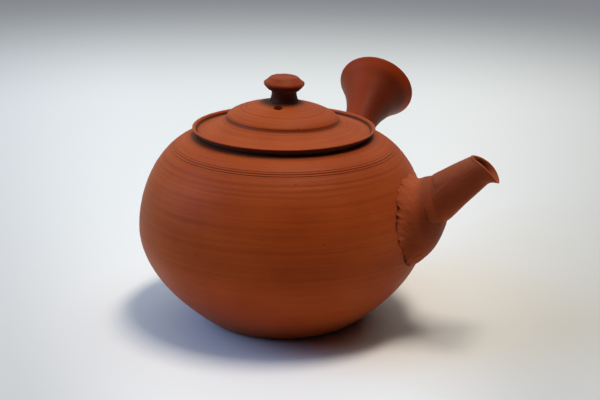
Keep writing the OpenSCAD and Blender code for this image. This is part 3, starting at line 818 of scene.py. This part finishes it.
def spout_point(s, a, grow, out=0.0):
    """A point of the spout at stage s and angle a from the top, grown outwards by grow and on by out."""
    centre = spout_centre(s)
    tilt = math.radians(staged(SPOUT_TILTS, max(0, s)))
    up = (spout_half(s, EDGE_HIGH, 2) + grow) * math.cos(a)
    side = (spout_half(s, EDGE_WIDE, 1) + grow) * math.sin(a)
    lip = max(0, s - 2)
    along = out + lip * (EDGE_BOW * math.sin(a) ** 2 - EDGE_SKEW * math.sin(a))
    arch = LIP_ARCH * lip * (1 - lip) * (1 - math.cos(a)) / 2
    return Vector((centre.x - up * math.sin(tilt) + along * math.cos(tilt), side,
                   centre.y + up * math.cos(tilt) + along * math.sin(tilt) + arch))


def finger_dents(s, a):
    """Unevenness that fingers and a wet sponge left on the spout."""
    near = Vector((math.cos(a), math.sin(a), s))
    broad = noise.noise(near * 1.7 + Vector((4, 0, 2)))
    scraped = noise.noise(Vector((math.cos(a) * 7, math.sin(a) * 7, s * 1.5)))
    calm = 1 - clamp(s - 2) * 0.8
    return (0.22 * broad + 0.05 * scraped) * calm


def spout_outside(s, a):
    return spout_point(s, a, sleeve_step(s, a) + finger_dents(s, a))


def spout_piece():
    sides = 180
    roll_rows = 8
    bore_rows = 40
    walls = (BELL_WALL, TUBE_WALL, TUBE_WALL, EDGE_WALL)
    strips = []
    painted_shades = []
    for j in range(sides):
        a = TURN * j / sides
        root = leaves_body(lambda s: spout_outside(s, a), -1, 1)
        stages = [root]
        for stop, rows in SPOUT_ROWS:
            start = stages[-1]
            stages += [mix(start, stop, (i + 1) / rows) for i in range(rows)]
        strip = [spout_outside(s, a) for s in stages]
        painted_shade = [max(sleeve_crease_shade(s, a), spout_painted_shade(s, a)) for s in stages]
        for i in range(1, roll_rows):
            roll = math.pi * i / roll_rows
            strip.append(spout_point(3, a, SPOUT_STEP - EDGE_WALL * (1 - math.cos(roll)) / 2,
                                     0.35 * math.sin(roll)))
            # A little painted shade on the rolled lip
            painted_shade.append(0.1)

        def bore(s):
            return spout_point(s, a, SPOUT_STEP - staged(walls, max(0, s)))

        root_in = leaves_body(bore, -1, 1)
        for i in range(bore_rows + 1):
            s = mix(3, root_in, (i / bore_rows) ** 0.8)
            strip.append(bore(s))
            # The bore is painted darker the deeper it goes: painted shade
            painted_shade.append(mix(0.2, 0.95, ease((3 - s) / 0.8)))
        strips.append(strip)
        painted_shades.append(painted_shade)
    return closed_skin("pulled_spout", strips, spout_clay, painted_shades)


HANDLE_FOOT = Vector((0, body_radius(HANDLE_Z), HANDLE_Z))
HANDLE_AXIS = Vector((0, math.cos(HANDLE_SLOPE), math.sin(HANDLE_SLOPE)))
HANDLE_UP = Vector((0, -math.sin(HANDLE_SLOPE), math.cos(HANDLE_SLOPE)))


def handle_radius(d):
    """Radius of the handle at a distance from the wall: a slow taper to the waist, then the flare."""
    if d < HANDLE_WAIST_L:
        return HANDLE_WAIST_R + (HANDLE_ROOT_R - HANDLE_WAIST_R) * (1 - max(0, d) / HANDLE_WAIST_L) ** 2
    flare = (d - HANDLE_WAIST_L) / (HANDLE_L - HANDLE_WAIST_L)
    return HANDLE_WAIST_R + (HANDLE_END_R - HANDLE_WAIST_R) * flare ** HANDLE_FLARE


def handle_point(d, a, grow):
    """A point of the handle at a distance d along it and angle a from its top."""
    r = handle_radius(d) + grow
    return HANDLE_FOOT + HANDLE_AXIS * d + (HANDLE_UP * math.cos(a) + Vector((math.sin(a), 0, 0))) * r


def wheel_dents(d, a):
    """Soft rings and dents that the potter's hands left on the handle."""
    rings = noise.noise(Vector((math.cos(a) * 0.7, math.sin(a) * 0.7, d / 3.5)))
    fine = noise.noise(Vector((math.cos(a) * 0.9, math.sin(a) * 0.9, d / 0.9)))
    return 0.07 * rings + 0.02 * fine


def handle_outside(d, a):
    return handle_point(d, a, wheel_dents(d, a))


def handle_painted_shade(d, a):
    """Painted shade on the handle, darkest on one side. Its root and its rim get less."""
    shaded_side = 0.5 * ease(0.5 + 0.8 * math.sin(a - 0.3))
    return 0.03 + (0.2 + shaded_side) * ease((HANDLE_L - d) / 6) * ease((d - 32) / 16)


def handle_piece():
    sides = 144
    rows = 150
    roll_rows = 9
    bore_rows = 60
    back = HANDLE_ROOT_R * 0.9
    strips = []
    painted_shades = []
    for j in range(sides):
        a = TURN * j / sides
        root = leaves_body(lambda d: handle_outside(d, a), -back, back)
        reached = [mix(root, HANDLE_L, i / rows) for i in range(rows + 1)]
        strip = [handle_outside(d, a) for d in reached]
        painted_shade = [handle_painted_shade(d, a) for d in reached]
        for i in range(1, roll_rows):
            roll = math.pi * i / roll_rows
            strip.append(handle_point(HANDLE_L, a, -HANDLE_WALL * (1 - math.cos(roll)) / 2)
                         + HANDLE_AXIS * 0.4 * HANDLE_WALL * math.sin(roll))
        root_in = leaves_body(lambda d: handle_point(d, a, -HANDLE_WALL), -back, back)
        strip += [handle_point(mix(HANDLE_L, root_in, i / bore_rows), a, -HANDLE_WALL)
                  for i in range(bore_rows + 1)]
        strips.append(strip)
        painted_shades.append(painted_shade + [painted_shade[-1]] * (len(strip) - len(painted_shade)))
    return closed_skin("thrown_handle", strips, handle_clay, painted_shades)


def joining_collar(name, point_at, back, spread, climb, lift, smear, shade_along, sides):
    """A collar of wet clay smeared over the corner between the body and a root, thinning out on both.
    point_at gives the root's own surface. spread, climb and lift give the collar's width on the body, its end
    on the root and the height of its torn edge at an angle. smear is the unevenness of its face, and the last
    function gives its painted shade."""
    steps = 26
    sunk = 3 * LUTE_GAP
    strips = []
    painted_shades = []
    for j in range(sides):
        a = TURN * j / sides
        width = spread(a)
        low = leaves_body(lambda s: point_at(s, a, width), -back, back)
        foot = point_at(low, a, width)
        outward = body_normal(foot)
        raised = lift(a)
        high = climb(a)
        strip = [foot - outward * sunk]
        # Painted shade under the torn edge, darker where it is lifted, fading up the collar
        painted_shade = [min(1.0, 2.5 * raised)]
        for i in range(steps + 1):
            share = i / steps
            thick = (width + LUTE_GAP) * (1 - share) ** 2.4 - LUTE_GAP * share
            waves = smear(share, a) * math.sin(math.pi * share) ** 0.7
            at = mix(low, high, share)
            strip.append(point_at(at, a, thick + waves) + outward * raised * (1 - share) ** 3)
            painted_shade.append(max(shade_along(at, a), painted_shade[0] * (1 - 6 * share)))
        root = leaves_body(lambda s: point_at(s, a, -sunk), -back, back)
        strip += [point_at(mix(high, root, i / 5), a, -sunk) for i in range(1, 6)]
        strip.append(foot.lerp(strip[-1], 0.5) - outward * 2 * sunk)
        strips.append(strip)
        painted_shades.append(painted_shade + [0.0] * (len(strip) - len(painted_shade)))
    return closed_skin(name, strips, luting_clay, painted_shades)


def torn(a, scale):
    """Ragged noise round a collar's edge, mostly small with a few deep tears."""
    place = Vector((math.cos(a), math.sin(a), 0.3)) * scale
    tear = max(0.0, noise.noise(place * 1.3 + Vector((7, 3, 1))) - 0.25)
    return 0.5 * noise.noise(place * 2.3) - 1.6 * tear


def spout_luting_piece():
    def spread(a):
        share = mix(0.12, 1, abs(math.sin(a)) ** 0.75) * (1 + 0.45 * torn(a, 3.4) + 0.22 * torn(a, 9))
        return SPOUT_COLLAR * max(0.1, share)

    def climb(a):
        uneven = noise.noise(Vector((math.cos(a), math.sin(a), 0)) * 3)
        return 0.5 + 0.06 * math.sin(2 * a + 1) + 0.08 * uneven

    def lift(a):
        ragged = noise.noise(Vector((math.cos(a), math.sin(a), 5)) * 4.5)
        flakes = noise.noise(Vector((math.cos(a), math.sin(a), 2)) * 11)
        return 0.02 + 1.3 * max(0.0, ragged - 0.1) + 0.9 * max(0.0, flakes - 0.15)

    def smear(share, a):
        dragged = a + 0.5 * share
        place = Vector((math.cos(dragged) * 8, math.sin(dragged) * 8, share * 1.2))
        return 0.26 * noise.noise(place) + 0.16 * noise.noise(place * 2.7)

    return joining_collar("spout_joint", lambda s, a, grow: spout_point(s, a, grow + finger_dents(s, a)), 1,
                          spread, climb, lift, smear, spout_painted_shade, 360)


def handle_luting_piece():
    def spread(a):
        return HANDLE_COLLAR * (0.9 + 0.25 * noise.noise(Vector((math.cos(a), math.sin(a), 2)) * 2.2)
                                + 0.12 * torn(a, 3))

    def climb(a):
        return HANDLE_COLLAR_L * (1 + 0.2 * noise.noise(Vector((math.cos(a), math.sin(a), 9)) * 2))

    def lift(a):
        return 0.15 + 0.15 * noise.noise(Vector((math.cos(a), math.sin(a), 1)) * 4)

    def smear(share, a):
        place = Vector((math.cos(a) * 5, math.sin(a) * 5, share * 1.4))
        return 0.12 * noise.noise(place) + 0.05 * noise.noise(place * 2.7)

    return joining_collar("handle_joint", lambda d, a, grow: handle_point(d, a, grow + wheel_dents(d, a)),
                          HANDLE_ROOT_R * 0.9, spread, climb, lift, smear, lambda d, a: 0.0, 224)


# Stage: camera, floor and light, laid out as the camera sees them

def set_camera():
    data = bpy.data.cameras.new("photo_view")
    data.sensor_width = 36
    data.lens = VIEW_LENS
    data.clip_start = 0.01
    data.clip_end = 50
    forward = Vector((math.sin(VIEW_YAW) * math.cos(VIEW_PITCH), math.cos(VIEW_YAW) * math.cos(VIEW_PITCH),
                      -math.sin(VIEW_PITCH)))
    level = Vector((math.cos(VIEW_YAW), -math.sin(VIEW_YAW), 0))
    lifted = level.cross(forward)
    right = level * math.cos(VIEW_ROLL) + lifted * math.sin(VIEW_ROLL)
    up = lifted * math.cos(VIEW_ROLL) - level * math.sin(VIEW_ROLL)
    axes = [seen_from_camera(*v) for v in (right, up, -forward)]
    camera = bpy.data.objects.new("photo_view", data)
    place = Matrix(axes).transposed().to_4x4()
    place.translation = seen_from_camera(0, -VIEW_DISTANCE * MM, VIEW_HEIGHT * MM)
    camera.matrix_world = place
    bpy.context.scene.collection.objects.link(camera)
    bpy.context.scene.camera = camera


def softbox(name, place, aim, width, height, watts, colour):
    """A soft lamp, with its place, aim and size in metres, as the camera sees them."""
    data = bpy.data.lights.new(name, "AREA")
    data.shape = "RECTANGLE"
    data.size = width
    data.size_y = height
    data.energy = watts
    data.color = linear(colour)[:3]
    lamp = bpy.data.objects.new(name, data)
    lamp.location = seen_from_camera(*place)
    lamp.rotation_euler = (seen_from_camera(*aim) - lamp.location).to_track_quat("-Z", "Y").to_euler()
    bpy.context.scene.collection.objects.link(lamp)


# The studio's far end, grey, and the table, near white
FAR_GREY = "#85878c"
TABLE_WHITE = "#eff6fa"
# What the table and the room's grey send back onto the pot
TABLE_BOUNCE = "#dcc8b4"
ROOM_FILL = 0.02
# Where the table's white begins to fade to grey and where it is gone, in metres from the pot
FADE_START = 0.36
FADE_END = 0.8
# The table's painted bright strip is narrowest at the picture's near edge, this far before the pot in metres.
# STRIP_SPREAD says how fast it widens both ways from there
NEAR_EDGE = 0.1
STRIP_SPREAD = 3.0
# Beside the pot: where the strip begins to dim and where it is dimmest, in metres aside, and by how much
STRIP_START = 0.04
STRIP_END = 0.13
STRIP_DIM = 0.28
TABLE_R = 8


def room_as_seen(tree):
    """Two values for a ray. The first is 1 where the room is seen, by the camera or in a gloss, and 0 where
    it lights the pot. The second is the strength of the room's grey for that."""
    ray = add_node(tree, "ShaderNodeLightPath")
    seen = add_node(tree, "ShaderNodeMath", {0: ray.outputs["Is Camera Ray"],
                                             1: ray.outputs["Is Glossy Ray"]}, operation="MAXIMUM")
    level = add_node(tree, "ShaderNodeMapRange", {"Value": seen.outputs[0], "To Min": ROOM_FILL,
                                                  "To Max": 1.0})
    return seen.outputs[0], level.outputs[0]


def set_floor():
    """A pale round table top that fades to the grey of the room, half a metre away."""
    disc = bmesh.new()
    bmesh.ops.create_circle(disc, cap_ends=True, segments=96, radius=TABLE_R)
    mesh = bpy.data.meshes.new("floor")
    disc.to_mesh(mesh)
    disc.free()
    floor = show("floor", mesh)
    floor.location.z = -0.02 * MM
    material = bpy.data.materials.new("matte_white_table")
    material.use_nodes = True
    tree = material.node_tree
    tree.nodes.clear()
    place = add_node(tree, "ShaderNodeTexCoord")
    reach = add_node(tree, "ShaderNodeVectorMath", {0: place.outputs["Object"]}, operation="LENGTH")
    fade = add_node(tree, "ShaderNodeMapRange", {
        "Value": reach.outputs["Value"], "From Min": FADE_START, "From Max": FADE_END, "To Min": 0.0,
        "To Max": 1.0}, interpolation_type="SMOOTHSTEP")
    # Painted light: the table's colour is brightest in a strip, as under the softbox, and painted darker to
    # its sides
    turned = add_node(tree, "ShaderNodeMapping", {0: place.outputs["Object"],
                                                  "Rotation": (0, 0, VIEW_AZIMUTH)}, vector_type="TEXTURE")
    parts = add_node(tree, "ShaderNodeSeparateXYZ", {0: turned.outputs[0]})
    aside = add_node(tree, "ShaderNodeMath", {0: parts.outputs["X"]}, operation="ABSOLUTE")
    beyond = add_node(tree, "ShaderNodeMath", {0: parts.outputs["Y"], 1: STRIP_SPREAD,
                                               2: STRIP_SPREAD * NEAR_EDGE}, operation="MULTIPLY_ADD")
    widening = add_node(tree, "ShaderNodeMath", {0: beyond.outputs[0]}, operation="ABSOLUTE")
    depth = add_node(tree, "ShaderNodeMath", {0: widening.outputs[0], 1: 1 - STRIP_SPREAD * NEAR_EDGE},
                     operation="ADD")
    spread = add_node(tree, "ShaderNodeMath", {0: aside.outputs[0], 1: depth.outputs[0]}, operation="DIVIDE")
    dim = add_node(tree, "ShaderNodeMapRange", {
        "Value": spread.outputs[0], "From Min": STRIP_START, "From Max": STRIP_END, "To Min": 0.0,
        "To Max": STRIP_DIM}, interpolation_type="SMOOTHSTEP")
    lit = add_node(tree, "ShaderNodeMix", {0: dim.outputs[0], 6: linear(TABLE_WHITE),
                                           7: (0.0, 0.0, 0.0, 1.0)}, data_type="RGBA")
    seen, level = room_as_seen(tree)
    top = add_node(tree, "ShaderNodeMix", {0: seen, 6: linear(TABLE_BOUNCE), 7: lit.outputs[2]},
                   data_type="RGBA")
    table = add_node(tree, "ShaderNodeBsdfDiffuse", {"Color": top.outputs[2]})
    distance = add_node(tree, "ShaderNodeEmission", {"Color": linear(FAR_GREY), "Strength": level})
    both = add_node(tree, "ShaderNodeMixShader", {0: fade.outputs[0], 1: table.outputs[0],
                                                  2: distance.outputs[0]})
    add_node(tree, "ShaderNodeOutputMaterial", {0: both.outputs[0]})
    mesh.materials.append(material)


def set_light():
    world = bpy.data.worlds.new("studio")
    world.use_nodes = True
    tree = world.node_tree
    tree.nodes.clear()
    level = room_as_seen(tree)[1]
    sky = add_node(tree, "ShaderNodeBackground", {"Color": linear(FAR_GREY), "Strength": level})
    add_node(tree, "ShaderNodeOutputWorld", {0: sky.outputs[0]})
    bpy.context.scene.world = world
    softbox("strip_overhead", place=(0.2, -0.08, 1.3), aim=(0, 0, 0.04), width=0.6, height=0.22, watts=10.5,
            colour="#ffe9d6")
    softbox("ceiling_panel", place=(0, 0.6, 1.25), aim=(0, 0.3, 0), width=2.6, height=2.6, watts=14,
            colour="#f8fff2")
    softbox("cool_window", place=(-1.2, 0, 0.7), aim=(0, 0, 0.04), width=0.9, height=0.9, watts=10.5,
            colour="#a8ccff")
    bpy.context.scene.view_settings.view_transform = "Standard"


set_camera()
set_floor()
set_light()

# Maker of each piece, the node that it stands for, the body that it rides on and its material slot
PIECES = (
    (body_piece, "body", "pot", "red_clay"),
    (spout_piece, "spout", "pot", "red_clay"),
    (spout_luting_piece, "spout_luting", "pot", "luting_clay"),
    (handle_piece, "handle", "pot", "red_clay"),
    (handle_luting_piece, "handle_luting", "pot", "luting_clay"),
    (lid_piece, "lid", "lid", "red_clay"),
    (knob_piece, "lid_knob", "lid", "red_clay"))
for make, node, body, slot in PIECES:
    piece = make()
    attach(piece, body)
    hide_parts(node)

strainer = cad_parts["strainer"]
for material_slot in strainer.material_slots:
    material_slot.material = strainer_clay
